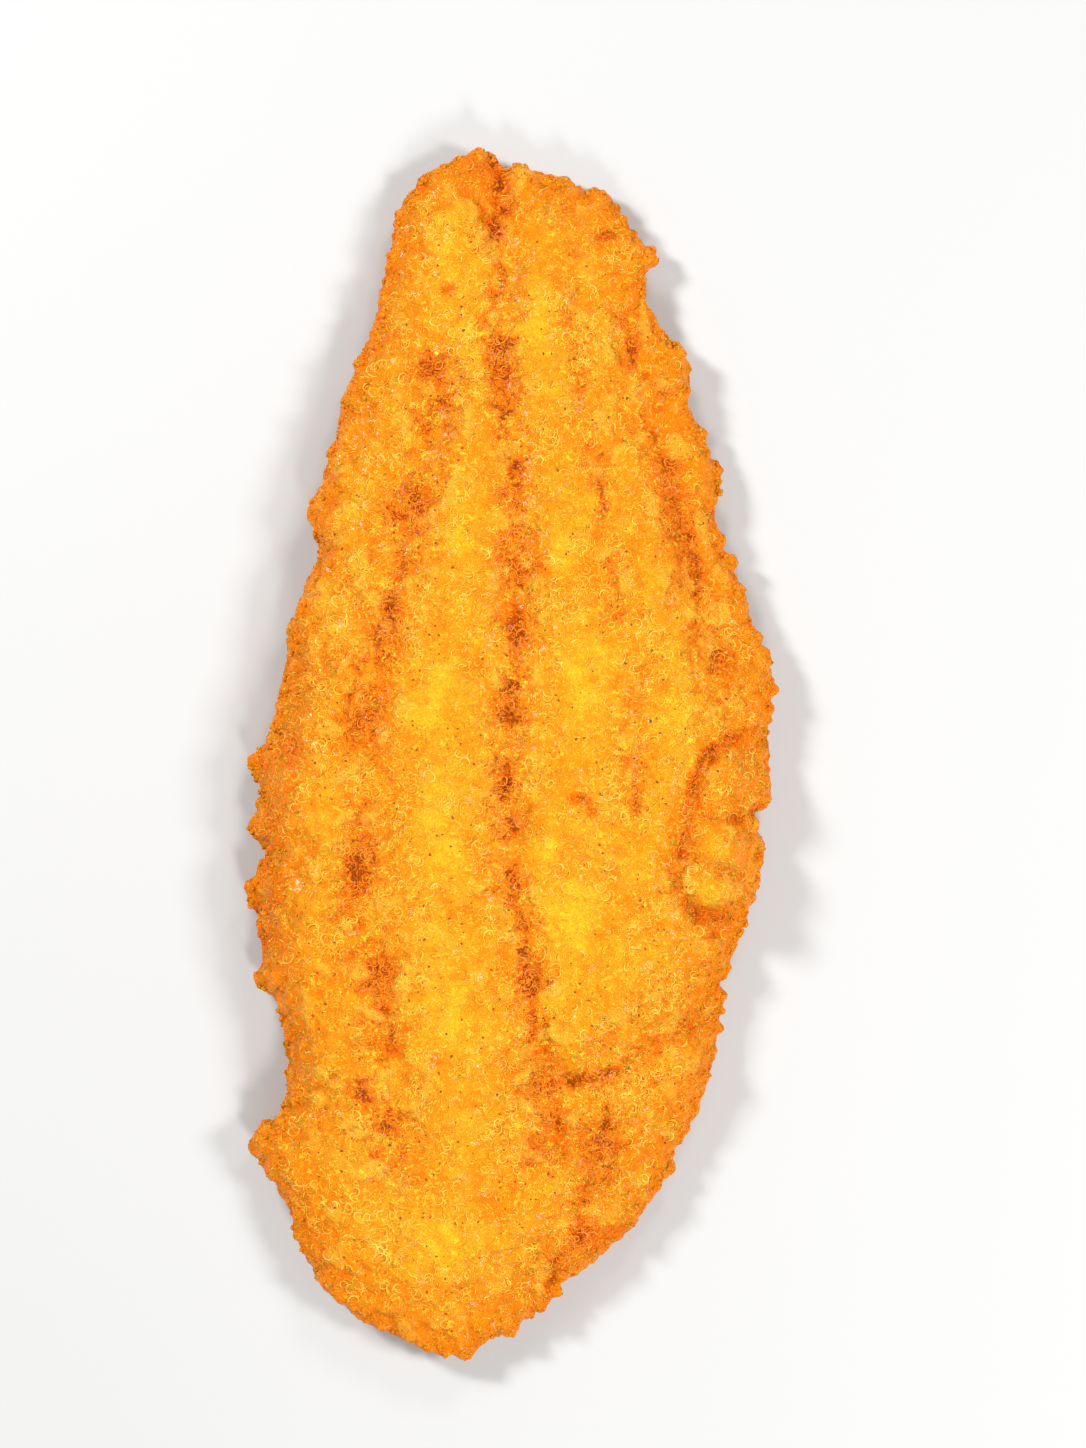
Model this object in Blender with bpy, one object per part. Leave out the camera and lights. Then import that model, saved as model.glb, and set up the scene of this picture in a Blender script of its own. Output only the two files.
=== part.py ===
"""A battered, deep-fried fish fillet lying flat: one solid, crust and flesh together.

The tail end points along +Y, the head end along -Y, and the thin belly edge is at +X.
Sizes are metres. Places on the fillet are (across, along), as shares of its half width and half length.
"""

import math

import bmesh
import bpy
from mathutils import Vector, kdtree, noise

LENGTH = 0.255
WIDTH = 0.1115
HEIGHT = 0.0190

RIM_THICKNESS = 0.0038  # the crust's free edge all round
RIM_BULGE = 0.0010  # how far the middle of the edge stands out past its two corners, at most
RIM_BULGE_SHARE = 0.35  # and at most this share of the way to the next point of the surface
RIM_FADE = 0.006  # creases and lumps fade out over this distance before the edge
BACK_SHOULDER = 0.015  # the back (-X) side rises to full thickness over this distance from the edge
BELLY_SHOULDER = 0.027  # the belly (+X) side thins out more slowly
UNDERSIDE_LIFT = 0.0030  # how high the edge curls up off the resting face, on average
UNDERSIDE_REACH = 0.011  # how far in from the edge that curl begins
CURL_EXPONENT = 1.7  # how sharply the curl turns up
CURL_UNEVENNESS = 0.6
CURL_WAVES = ((3, 0.45, 0.6), (7, 0.30, 2.1), (12, 0.20, 0.0))  # waves round the edge: number, size, phase
SHOULDER_EXPONENT = 0.8  # how full the shoulders are
LUMP_HEIGHT = 0.0005
LUMP_SPACING = 0.013
LUMP_SEED = 0.4

CELLS_ACROSS = 36
CELLS_ALONG = 80
SPREADING_ROUNDS = 30
OUTLINE_SAMPLES = 1200
SAMPLES_PER_SPAN = 24
KNOB_WINDOW = 3  # outline samples either side that give the direction a knob stands out in
KNOB_SPAN = 3  # a knob is followed out to this many half widths
RIM_WINDOW = 6  # outline samples either side that give the edge's direction
CREASE_STEP = 0.0004
FLAT_ANGLE = math.radians(0.05)
RESTING_TOLERANCE = 1e-7
SHORTEST_STEP = 1e-12

CRUST_COLOUR = (0.93, 0.34, 0.012, 1.0)
CRUST_ROUGHNESS = 0.42

# Breadths of the two flanks, from the tail end to the head end: (along, back edge, belly edge).
FLANKS = (
    (0.90, -0.415, 0.40),
    (0.78, -0.48, 0.47),
    (0.67, -0.555, 0.59),
    (0.56, -0.645, 0.69),
    (0.45, -0.71, 0.75),
    (0.34, -0.75, 0.80),
    (0.23, -0.82, 0.895),
    (0.12, -0.87, 0.97),
    (0.01, -0.92, 0.96),
    (-0.10, -0.95, 0.95),
    (-0.21, -0.96, 0.93),
    (-0.32, -0.95, 0.84),
    (-0.43, -0.88, 0.79),
    (-0.54, -0.85, 0.74),
    (-0.65, -0.87, 0.62),
    (-0.76, -0.83, 0.475),
    (-0.86, -0.74, 0.23),
    (-0.93, -0.57, 0.05),
)
# The two ends between the flanks: the tail from back to belly, the head from belly to back.
TAIL_END = ((-0.30, 0.96), (-0.10, 0.99), (0.10, 0.955), (0.27, 0.93))
HEAD_END = ((-0.08, -0.96), (-0.20, -0.99), (-0.40, -0.965))
# Where the sides of the grid meet: tail and back, tail and belly, head and belly, head and back.
GRID_CORNERS = ((-0.43, 0.89), (0.43, 0.89), (0.26, -0.87), (-0.70, -0.88))

# Knobs of batter (+) and notches (-) in the edge: (across, along, reach, half width), the last two in metres.
EDGE_KNOBS = (
    (-0.02, 0.98, -0.0034, 0.0022),  # split in the tail end
    (0.52, 0.82, 0.0052, 0.0040),  # ear beside the tail
    (0.67, 0.64, 0.0028, 0.0044),
    (0.67, 0.58, -0.0014, 0.0032),
    (0.79, 0.46, 0.0028, 0.0036),
    (0.77, 0.40, -0.0008, 0.0036),
    (0.99, 0.14, 0.0012, 0.0050),
    (0.95, -0.05, 0.0014, 0.0030),
    (0.93, -0.11, -0.0026, 0.0026),
    (0.79, -0.37, -0.0018, 0.0026),
    (0.15, -0.88, -0.0022, 0.0024),  # bite beside the head end
    (-0.93, -0.645, 0.0072, 0.0044),  # big knob low on the back edge
    (-0.88, -0.70, 0.0024, 0.0040),
    (-0.95, -0.375, 0.0034, 0.0022),  # stub on the back edge
    (-0.98, -0.23, 0.0022, 0.0050),
    (-0.93, -0.17, -0.0026, 0.0026),
    (-0.97, -0.12, 0.0024, 0.0034),
    (-0.95, -0.02, 0.0042, 0.0034),
    (-0.76, 0.31, -0.0016, 0.0034),
    (-0.77, 0.40, 0.0024, 0.0036),
)

# Creases between the muscle bands: (points, depth, half width), the last two in metres.
LATERAL_LINE = (
    (-0.04, 0.97),
    (-0.05, 0.87),
    (-0.01, 0.77),
    (-0.03, 0.64),
    (0.01, 0.52),
    (0.03, 0.32),
    (0.02, 0.20),
    (-0.01, 0.05),
    (-0.02, -0.08),
    (0.01, -0.23),
    (0.07, -0.36),
    (0.11, -0.50),
    (0.14, -0.66),
)
BACK_CREASE = (
    (-0.25, 0.78),
    (-0.30, 0.63),
    (-0.33, 0.50),
    (-0.40, 0.38),
    (-0.46, 0.24),
    (-0.52, 0.08),
    (-0.52, -0.08),
    (-0.56, -0.23),
    (-0.51, -0.36),
    (-0.47, -0.48),
    (-0.45, -0.62),
)
BELLY_CREASE = (
    (0.33, 0.84),
    (0.25, 0.75),
    (0.28, 0.62),
    (0.36, 0.40),
    (0.38, 0.26),
    (0.46, 0.17),
    (0.49, 0.05),
    (0.48, -0.09),
)
EDGE_CREASE = (
    (0.43, 0.70),
    (0.50, 0.56),
    (0.60, 0.46),
    (0.67, 0.34),
    (0.73, 0.22),
    (0.77, 0.12),
)
FLAP_CREASE = (
    (0.80, 0.05),
    (0.71, 0.00),
    (0.67, -0.10),
    (0.63, -0.17),
    (0.62, -0.22),
    (0.70, -0.26),
    (0.82, -0.27),
)
HEAD_FOLD_UPPER = ((0.56, -0.36), (0.42, -0.43), (0.25, -0.50))
HEAD_FOLD_LOWER = ((0.76, -0.40), (0.56, -0.47), (0.36, -0.54), (0.20, -0.53))
HEAD_EDGE_FOLD = ((0.34, -0.72), (0.24, -0.76), (0.12, -0.81), (0.13, -0.87))
CREASES = (
    (LATERAL_LINE, 0.0024, 0.0045),
    (BACK_CREASE, 0.0018, 0.0060),
    (BELLY_CREASE, 0.0011, 0.0036),
    (EDGE_CREASE, 0.0018, 0.0042),
    (FLAP_CREASE, 0.0030, 0.0032),
    (HEAD_FOLD_UPPER, 0.0012, 0.0030),
    (HEAD_FOLD_LOWER, 0.0024, 0.0034),
    (HEAD_EDGE_FOLD, 0.0016, 0.0032),
)

# Swellings of the crust: (across, along, half size across, half size along, height), the last three in metres.
PILLOWS = (
    (0.82, -0.06, 0.0070, 0.0110, 0.0024),  # turned-up belly flap, upper part
    (0.76, -0.16, 0.0065, 0.0065, 0.0028),
    (0.76, -0.23, 0.0070, 0.0050, 0.0026),
    (0.50, -0.38, 0.0160, 0.0050, 0.0012),
    (0.66, -0.50, 0.0110, 0.0060, 0.0012),
    (0.17, -0.84, 0.0050, 0.0070, 0.0018),
    (0.33, -0.80, 0.0075, 0.0055, 0.0016),
    (-0.28, 0.83, 0.0065, 0.0140, 0.0010),
    (0.25, -0.02, 0.0090, 0.0200, 0.0009),
    (-0.02, 0.66, 0.0070, 0.0050, 0.0008),
)

# Thickness along the fillet, as shares of the thickest place: (along, share), head end first.
THICKNESS_ALONG = (
    (-1.0, 0.50),
    (-0.8, 0.72),
    (-0.4, 0.95),
    (-0.1, 1.00),
    (0.3, 0.93),
    (0.7, 0.72),
    (1.0, 0.50),
)


def place(across, along):
    return Vector((across * WIDTH / 2, along * LENGTH / 2))


def spline(points, closed):
    """Catmull-Rom curve through the points, as a list of 2D vectors."""
    count = len(points)
    spans = count if closed else count - 1
    curve = []
    for i in range(spans):
        if closed:
            a, b, c, d = (points[(i + k) % count] for k in (-1, 0, 1, 2))
        else:
            a, b, c, d = (points[min(max(i + k, 0), count - 1)] for k in (-1, 0, 1, 2))
        for k in range(SAMPLES_PER_SPAN):
            t = k / SAMPLES_PER_SPAN
            curve.append(
                0.5
                * (
                    2 * b
                    + (c - a) * t
                    + (2 * a - 5 * b + 4 * c - d) * t**2
                    + (3 * b - 3 * c + d - a) * t**3
                )
            )
    if not closed:
        curve.append(points[-1].copy())
    return curve


def evenly_spaced(curve, count, closed):
    """The same line with count points, each as far from the last."""
    line = curve + [curve[0]] if closed else curve
    reach = [0.0]
    for a, b in zip(line, line[1:]):
        reach.append(reach[-1] + (b - a).length)
    gaps = count if closed else count - 1
    spaced = []
    k = 0
    for i in range(count):
        wanted = reach[-1] * i / gaps
        while k < len(line) - 2 and reach[k + 1] < wanted:
            k += 1
        share = (wanted - reach[k]) / max(reach[k + 1] - reach[k], SHORTEST_STEP)
        spaced.append(line[k].lerp(line[k + 1], min(share, 1.0)))
    return spaced


def edge_outline():
    """The fillet's edge seen from above, running clockwise from the tail end."""
    belly_side = [(right, along) for along, left, right in FLANKS]
    back_side = [(left, along) for along, left, right in reversed(FLANKS)]
    corners = [place(*p) for p in (*TAIL_END, *belly_side, *HEAD_END, *back_side)]
    smooth = evenly_spaced(spline(corners, True), OUTLINE_SAMPLES, True)
    step = sum((b - a).length for a, b in zip(smooth, smooth[1:])) / (len(smooth) - 1)
    outward = []
    for i in range(len(smooth)):
        tangent = smooth[(i + KNOB_WINDOW) % len(smooth)] - smooth[i - KNOB_WINDOW]
        outward.append(Vector((-tangent.y, tangent.x)).normalized())
    pushed = [p.copy() for p in smooth]
    for across, along, reach, half_width in EDGE_KNOBS:
        spot = place(across, along)
        nearest = nearest_index(smooth, spot)
        span = int(KNOB_SPAN * half_width / step)
        for k in range(-span, span + 1):
            i = (nearest + k) % len(smooth)
            pushed[i] += outward[nearest] * reach * math.exp(-((k * step / half_width) ** 2))
    return fitted(pushed)


def fitted(outline):
    """The outline stretched and moved so that it is exactly LENGTH by WIDTH about the origin."""
    low_x, high_x = min(p.x for p in outline), max(p.x for p in outline)
    low_y, high_y = min(p.y for p in outline), max(p.y for p in outline)
    return [
        Vector(
            (
                ((p.x - low_x) / (high_x - low_x) - 0.5) * WIDTH,
                ((p.y - low_y) / (high_y - low_y) - 0.5) * LENGTH,
            )
        )
        for p in outline
    ]


def nearest_index(outline, spot):
    return min(range(len(outline)), key=lambda i: (outline[i] - spot).length_squared)


def four_sides(outline):
    """The outline cut at its four corners into the tail, belly, head and back sides of a grid."""
    corners = [nearest_index(outline, place(*spot)) for spot in GRID_CORNERS]
    sides = []
    for start, end in zip(corners, corners[1:] + corners[:1]):
        if end < start:
            end += len(outline)
        sides.append([outline[i % len(outline)] for i in range(start, end + 1)])
    tail, belly, head, back = sides
    return (
        evenly_spaced(tail, CELLS_ACROSS + 1, False),
        evenly_spaced(belly, CELLS_ALONG + 1, False),
        evenly_spaced(head, CELLS_ACROSS + 1, False)[::-1],
        evenly_spaced(back, CELLS_ALONG + 1, False)[::-1],
    )


def filled_between(tail, belly, head, back, column, row):
    """The point of a Coons patch between the four sides, row 0 at the tail and column 0 at the back."""
    u = column / CELLS_ACROSS
    v = row / CELLS_ALONG
    ruled = back[row].lerp(belly[row], u) + tail[column].lerp(head[column], v)
    corners = tail[0].lerp(tail[-1], u).lerp(head[0].lerp(head[-1], u), v)
    return ruled - corners


def nearest_finder(line):
    """A search tree over closely spaced points of a line."""
    tree = kdtree.KDTree(len(line))
    for i, point in enumerate(line):
        tree.insert((point.x, point.y, 0.0), i)
    tree.balance()
    return tree


def distance_to(tree, point):
    return tree.find((point.x, point.y, 0.0))[2]


def thickness_share(along):
    for (a, low), (b, high) in zip(THICKNESS_ALONG, THICKNESS_ALONG[1:]):
        if along <= b:
            t = min(max((along - a) / (b - a), 0.0), 1.0)
            return low + (high - low) * t * t * (3 - 2 * t)
    return THICKNESS_ALONG[-1][1]


def edge_curl(point):
    """How high the edge stands off the resting face at this place: a slow wave round the fillet."""
    turn = math.atan2(point.y / LENGTH, point.x / WIDTH)
    wave = sum(size * math.sin(number * turn + phase) for number, size, phase in CURL_WAVES)
    return UNDERSIDE_LIFT * (1.0 + CURL_UNEVENNESS * wave)


def underside(point, inset):
    curl = max(1.0 - inset / UNDERSIDE_REACH, 0.0)
    return edge_curl(point) * curl**CURL_EXPONENT


def crease_depth(point, creases):
    return sum(
        depth * math.exp(-((distance_to(tree, point) / half_width) ** 2))
        for tree, depth, half_width in creases
    )


def pillow_height(point):
    total = 0.0
    for across, along, half_x, half_y, height in PILLOWS:
        offset = point - place(across, along)
        total += height * math.exp(-((offset.x / half_x) ** 2) - (offset.y / half_y) ** 2)
    return total


def upper_side(point, inset, creases):
    belly_share = min(max(point.x / (WIDTH / 2) * 0.5 + 0.5, 0.0), 1.0)
    shoulder = BACK_SHOULDER + (BELLY_SHOULDER - BACK_SHOULDER) * belly_share**2
    rise = (1.0 - (1.0 - min(inset / shoulder, 1.0)) ** 2) ** SHOULDER_EXPONENT
    full = HEIGHT * thickness_share(point.y / (LENGTH / 2))
    body = RIM_THICKNESS + (full - RIM_THICKNESS) * rise
    fade = min(inset / RIM_FADE, 1.0)
    relief = pillow_height(point) - crease_depth(point, creases)
    lumps = LUMP_HEIGHT * noise.noise((point.x / LUMP_SPACING, point.y / LUMP_SPACING, LUMP_SEED))
    return underside(point, inset) + body + (relief + lumps) * fade


def crease_lines():
    """Every crease as a search tree over its line, with its depth and half width."""
    lines = []
    for points, depth, half_width in CREASES:
        smooth = spline([place(*p) for p in points], False)
        length = sum((b - a).length for a, b in zip(smooth, smooth[1:]))
        dense = evenly_spaced(smooth, max(round(length / CREASE_STEP), 2), False)
        lines.append((nearest_finder(dense), depth, half_width))
    return lines


def lay_out_grid(shape, outline):
    """A grid whose sides follow the outline, one face thick, lying flat."""
    tail, belly, head, back = four_sides(outline)
    bmesh.ops.create_grid(shape, x_segments=CELLS_ACROSS, y_segments=CELLS_ALONG, size=1.0)
    for vertex in shape.verts:
        column = round((vertex.co.x + 1) / 2 * CELLS_ACROSS)
        row = round((1 - vertex.co.y) / 2 * CELLS_ALONG)
        vertex.co.xy = filled_between(tail, belly, head, back, column, row)
    inner = [v for v in shape.verts if not v.is_boundary]
    for _ in range(SPREADING_ROUNDS):
        bmesh.ops.smooth_vert(shape, verts=inner, factor=0.5, use_axis_x=True, use_axis_y=True)


def raise_surfaces(shape, outline):
    """Extrude the flat grid into an underside and an upper side. Returns the upright edges between them."""
    raised = bmesh.ops.extrude_face_region(shape, geom=list(shape.faces))
    upper = {g for g in raised["geom"] if isinstance(g, bmesh.types.BMVert)}
    posts = [e for e in shape.edges if (e.verts[0] in upper) != (e.verts[1] in upper)]
    rim = {v for e in posts for v in e.verts}
    edge = nearest_finder(outline)
    creases = crease_lines()
    for vertex in shape.verts:
        point = vertex.co.xy
        inset = 0.0 if vertex in rim else distance_to(edge, point)
        if vertex in upper:
            vertex.co.z = upper_side(point, inset, creases)
        else:
            vertex.co.z = underside(point, inset)
    return posts


def round_rim(shape, outline, posts):
    """Leave a loop round the middle of the edge on the outline, and draw the corners above and below it in."""
    cut = bmesh.ops.subdivide_edges(shape, edges=posts, cuts=1)
    middle = {g for g in cut["geom_inner"] if isinstance(g, bmesh.types.BMVert)}
    corners = {e.other_vert(v) for v in middle for e in v.link_edges} - middle
    edge = nearest_finder(outline)
    rim = corners | middle
    moves = {}
    for corner in corners:
        i = edge.find((corner.co.x, corner.co.y, 0.0))[1]
        tangent = (outline[(i + RIM_WINDOW) % len(outline)] - outline[i - RIM_WINDOW]).normalized()
        inward = Vector((tangent.y, -tangent.x))
        inner = [e.other_vert(corner) for e in corner.link_edges if e.other_vert(corner) not in rim]
        room = min(((v.co.xy - corner.co.xy).dot(inward) for v in inner), default=RIM_BULGE)
        moves[corner] = inward * min(RIM_BULGE, max(room, 0.0) * RIM_BULGE_SHARE)
    for corner, move in moves.items():
        corner.co.xy += move


def stretch_to_height(shape):
    highest = max(v.co.z for v in shape.verts)
    for vertex in shape.verts:
        vertex.co.z *= HEIGHT / highest


def clear_flat_underside(shape):
    """Take the edges out of the part of the underside that rests flat."""
    flat = {f for f in shape.faces if all(abs(v.co.z) < RESTING_TOLERANCE for v in f.verts)}
    edges = {e for f in flat for e in f.edges if all(g in flat for g in e.link_faces)}
    verts = {v for f in flat for v in f.verts if all(g in flat for g in v.link_faces)}
    bmesh.ops.dissolve_limit(shape, angle_limit=FLAT_ANGLE, verts=list(verts), edges=list(edges))


def make_fillet():
    outline = edge_outline()
    shape = bmesh.new()
    lay_out_grid(shape, outline)
    posts = raise_surfaces(shape, outline)
    round_rim(shape, outline, posts)
    stretch_to_height(shape)
    clear_flat_underside(shape)
    bmesh.ops.recalc_face_normals(shape, faces=shape.faces)
    mesh = bpy.data.meshes.new("fillet")
    shape.to_mesh(mesh)
    shape.free()
    mesh.shade_smooth()
    return bpy.data.objects.new("fillet", mesh)


def crust_material():
    material = bpy.data.materials.new("fried_crust")
    material.use_nodes = True
    surface = material.node_tree.nodes["Principled BSDF"]
    surface.inputs["Base Color"].default_value = CRUST_COLOUR
    surface.inputs["Roughness"].default_value = CRUST_ROUGHNESS
    surface.inputs["Metallic"].default_value = 0.0
    return material


def main():
    for old in list(bpy.data.objects):
        bpy.data.objects.remove(old)
    collection = bpy.data.collections.new("fried_fish_fillet")
    bpy.context.scene.collection.children.link(collection)
    fillet = make_fillet()
    fillet.data.materials.append(crust_material())
    collection.objects.link(fillet)


main()
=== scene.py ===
import math
import random

import bmesh
import bpy
import numpy as np
from mathutils import Matrix, Vector, kdtree, noise
from mathutils.bvhtree import BVHTree


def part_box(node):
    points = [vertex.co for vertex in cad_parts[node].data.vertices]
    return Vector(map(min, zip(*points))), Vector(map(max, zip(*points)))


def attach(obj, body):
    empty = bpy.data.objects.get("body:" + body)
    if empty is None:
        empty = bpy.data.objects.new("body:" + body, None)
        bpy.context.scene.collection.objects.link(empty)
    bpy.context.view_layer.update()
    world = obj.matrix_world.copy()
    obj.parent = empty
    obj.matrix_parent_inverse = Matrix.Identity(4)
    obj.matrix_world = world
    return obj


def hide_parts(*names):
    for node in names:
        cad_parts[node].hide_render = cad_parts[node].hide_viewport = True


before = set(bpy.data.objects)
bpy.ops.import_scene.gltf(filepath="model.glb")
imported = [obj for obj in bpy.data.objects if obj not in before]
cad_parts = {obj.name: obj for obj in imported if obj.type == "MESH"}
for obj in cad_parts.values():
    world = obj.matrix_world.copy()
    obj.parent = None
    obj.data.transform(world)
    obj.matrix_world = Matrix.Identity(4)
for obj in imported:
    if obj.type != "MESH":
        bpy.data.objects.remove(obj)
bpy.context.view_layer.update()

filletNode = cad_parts["fillet"]
filletLow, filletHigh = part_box("fillet")
halfWidth = (filletHigh.x - filletLow.x) / 2
halfLength = (filletHigh.y - filletLow.y) / 2
halfHeight = 0.01  # about half of its height
millimetre = 0.001
aboveAll = 0.1  # a height over everything, from which rays look straight down
straightDown = Vector((0, 0, -1))
curveStep = 0.0028  # length of the short straight steps along a groove

# Places on the fillet are (across, along): shares of its half width and half length from the middle.
# The tail end is at along 1, the thin belly edge at across 1. Sizes with no unit are in millimetres.

# Creases between the muscle bands: points, half width of the narrow fold, its depth, half width of the
# browner band along it, how brown it is and how broken the brown is (1 when not given).
grooves = {
    "middle": dict(
        points=[(-0.04, 0.97), (-0.05, 0.87), (-0.02, 0.77), (-0.03, 0.64), (0.01, 0.52), (0.03, 0.32),
                (0.02, 0.20), (-0.01, 0.05), (-0.02, -0.08), (0.01, -0.23), (0.07, -0.36), (0.11, -0.50),
                (0.12, -0.64)],
        fold=1.2, depth=0.35, band=4.3, brown=0.70),
    "back": dict(
        points=[(-0.27, 0.62), (-0.33, 0.50), (-0.40, 0.38), (-0.45, 0.28), (-0.53, 0.14), (-0.55, 0.02),
                (-0.51, -0.10), (-0.57, -0.22), (-0.51, -0.36), (-0.48, -0.49), (-0.52, -0.56),
                (-0.45, -0.64)],
        fold=1.5, depth=0.20, band=7.0, brown=0.60),
    "belly": dict(
        points=[(0.22, 0.78), (0.25, 0.62), (0.31, 0.50), (0.36, 0.38), (0.42, 0.24), (0.475, 0.14),
                (0.475, 0.05), (0.48, -0.08)],
        fold=0.9, depth=0.30, band=3.6, brown=0.42),
    "bellyEdge": dict(
        points=[(0.44, 0.71), (0.51, 0.60), (0.58, 0.48), (0.66, 0.36), (0.70, 0.28), (0.73, 0.20),
                (0.79, 0.10)],
        fold=1.1, depth=0.30, band=5.0, brown=0.50),
    "flap": dict(
        points=[(0.90, 0.030), (0.83, 0.022), (0.765, 0.004), (0.70, -0.036), (0.685, -0.080), (0.67, -0.120),
                (0.635, -0.156), (0.613, -0.190), (0.635, -0.224), (0.70, -0.262), (0.80, -0.272)],
        fold=1.5, depth=1.90, band=2.0, brown=0.80, broken=0.3),
    "flapUpperFold": dict(points=[(0.69, -0.098), (0.80, -0.110), (0.91, -0.100)],
                          fold=1.1, depth=1.00, band=1.8, brown=0.40, broken=0.3),
    "flapLowerFold": dict(points=[(0.65, -0.168), (0.73, -0.178), (0.81, -0.194), (0.89, -0.215)],
                          fold=1.2, depth=1.60, band=1.8, brown=0.70, broken=0.3),
    "headFoldUpper": dict(points=[(0.58, -0.39), (0.46, -0.43), (0.33, -0.475), (0.27, -0.50)],
                          fold=1.3, depth=0.90, band=2.4, brown=0.36, broken=0.5),
    "headFoldLower": dict(
        points=[(0.75, -0.42), (0.62, -0.455), (0.48, -0.50), (0.36, -0.53), (0.22, -0.535)],
        fold=1.9, depth=0.80, band=3.4, brown=0.34),
    "headEdgeFold": dict(points=[(0.36, -0.60), (0.30, -0.70), (0.25, -0.78), (0.17, -0.84), (0.16, -0.89)],
                         fold=1.2, depth=0.55, band=4.2, brown=0.45),
}

# Browned spots: across, along, half size across, half size along, strength.
brownSpots = [
    (-0.04, 0.95, 1.8, 3.2, 0.60), (-0.05, 0.87, 1.5, 3.8, 0.62), (-0.03, 0.635, 2.3, 4.6, 1.10),
    (-0.01, 0.56, 1.8, 3.0, 0.45), (0.02, 0.44, 1.3, 6.0, 0.60), (0.02, 0.21, 1.8, 5.0, 1.30),
    (0.01, 0.08, 1.4, 5.4, 0.30), (-0.02, -0.05, 1.4, 4.0, 0.55), (0.00, -0.12, 1.4, 2.8, 0.70),
    (0.01, -0.20, 1.5, 3.4, 0.80), (0.05, -0.33, 1.3, 5.5, 0.75), (0.08, -0.41, 1.2, 4.5, 0.80),
    (-0.30, 0.635, 3.0, 2.2, 1.15), (-0.245, 0.575, 2.2, 1.8, 0.65), (-0.24, 0.765, 1.4, 1.4, 0.65),
    (-0.33, 0.95, 2.2, 2.0, 0.60), (-0.18, 0.93, 1.4, 2.0, 0.40), (-0.36, 0.43, 2.8, 4.5, 0.50),
    (-0.45, 0.24, 2.8, 3.6, 0.38), (-0.55, 0.05, 3.0, 4.0, 0.40), (-0.57, -0.20, 2.2, 5.2, 0.75),
    (-0.50, -0.37, 3.0, 6.0, 0.55), (-0.48, -0.48, 2.0, 3.2, 0.70), (-0.55, -0.56, 2.0, 2.2, 0.45),
    (-0.45, -0.60, 2.0, 2.2, 0.45), (-0.82, 0.00, 3.0, 6.0, 0.60), (-0.88, -0.24, 3.0, 5.6, 0.60),
    (0.36, 0.855, 2.6, 1.3, 0.95), (0.25, 0.825, 2.2, 1.8, 0.55), (0.46, 0.67, 1.5, 3.6, 0.90),
    (0.50, 0.60, 1.8, 2.6, 0.70), (0.22, 0.72, 1.8, 2.4, 0.40), (0.40, 0.80, 1.4, 1.4, 0.50),
    (0.60, 0.475, 2.8, 1.6, 0.85), (0.56, 0.535, 1.6, 1.6, 0.55), (0.35, 0.42, 1.2, 4.6, 0.45),
    (0.70, 0.29, 1.1, 4.6, 0.80), (0.66, 0.36, 2.0, 3.0, 0.40), (0.77, 0.16, 2.4, 3.6, 0.30),
    (0.26, -0.072, 2.2, 1.1, 1.25), (0.31, -0.092, 1.6, 1.4, 0.75), (0.47, -0.08, 1.2, 3.2, 1.05),
    (0.25, -0.535, 3.6, 1.8, 0.90), (0.38, -0.525, 3.4, 1.6, 0.70), (0.36, -0.59, 1.6, 3.0, 0.55),
    (0.26, -0.79, 1.8, 2.6, 0.80), (0.13, -0.80, 1.6, 3.4, 0.40), (0.33, -0.66, 6.0, 7.5, 0.80),
    (0.36, -0.80, 5.0, 4.0, 0.40), (0.16, -0.62, 3.6, 8.0, 0.62), (-0.62, -0.86, 2.2, 1.2, 0.45),
    (0.62, -0.46, 5.0, 3.0, 0.35), (-0.12, 0.97, 6.0, 3.0, 0.40), (0.20, 0.90, 6.0, 3.5, 0.32),
    (0.84, -0.03, 4.0, 6.0, 0.30), (0.81, 0.155, 3.0, 5.0, 0.50), (0.62, 0.36, 5.0, 9.0, 0.25),
    (-0.90, -0.12, 2.4, 5.0, 0.50), (-0.93, -0.02, 1.8, 2.2, 0.60), (-0.92, -0.31, 2.0, 2.4, 0.60),
]

# Paler, yellower stretches of the bands: the same five numbers.
yellowPatches = [
    (-0.25, 0.85, 3.4, 8.5, 1.00), (-0.15, 0.71, 3.0, 6.0, 0.95), (0.08, 0.73, 3.2, 7.0, 0.90),
    (-0.60, 0.44, 3.8, 10.0, 0.85), (-0.47, 0.62, 3.2, 7.0, 0.55), (-0.20, 0.38, 6.0, 9.0, 0.45),
    (-0.70, 0.22, 3.6, 12.0, 0.85), (0.23, 0.34, 4.5, 8.0, 0.60), (0.28, 0.11, 5.0, 8.0, 1.00),
    (0.60, 0.06, 3.6, 9.0, 0.55), (-0.27, 0.10, 6.5, 10.0, 0.60), (-0.25, -0.13, 6.0, 9.0, 0.85),
    (0.22, -0.26, 5.5, 9.0, 0.95), (0.13, -0.15, 3.6, 5.0, 0.60), (-0.22, -0.42, 6.0, 10.0, 0.80),
    (0.20, -0.40, 3.4, 6.0, 0.55), (-0.15, -0.62, 5.5, 8.0, 0.45), (-0.25, -0.80, 4.6, 6.5, 0.85),
    (0.42, 0.24, 3.4, 5.0, 0.30), (0.40, 0.70, 3.0, 6.0, 0.50), (-0.72, -0.76, 3.4, 6.0, 0.30),
    (0.74, -0.235, 2.6, 2.0, 0.65),
]

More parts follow.
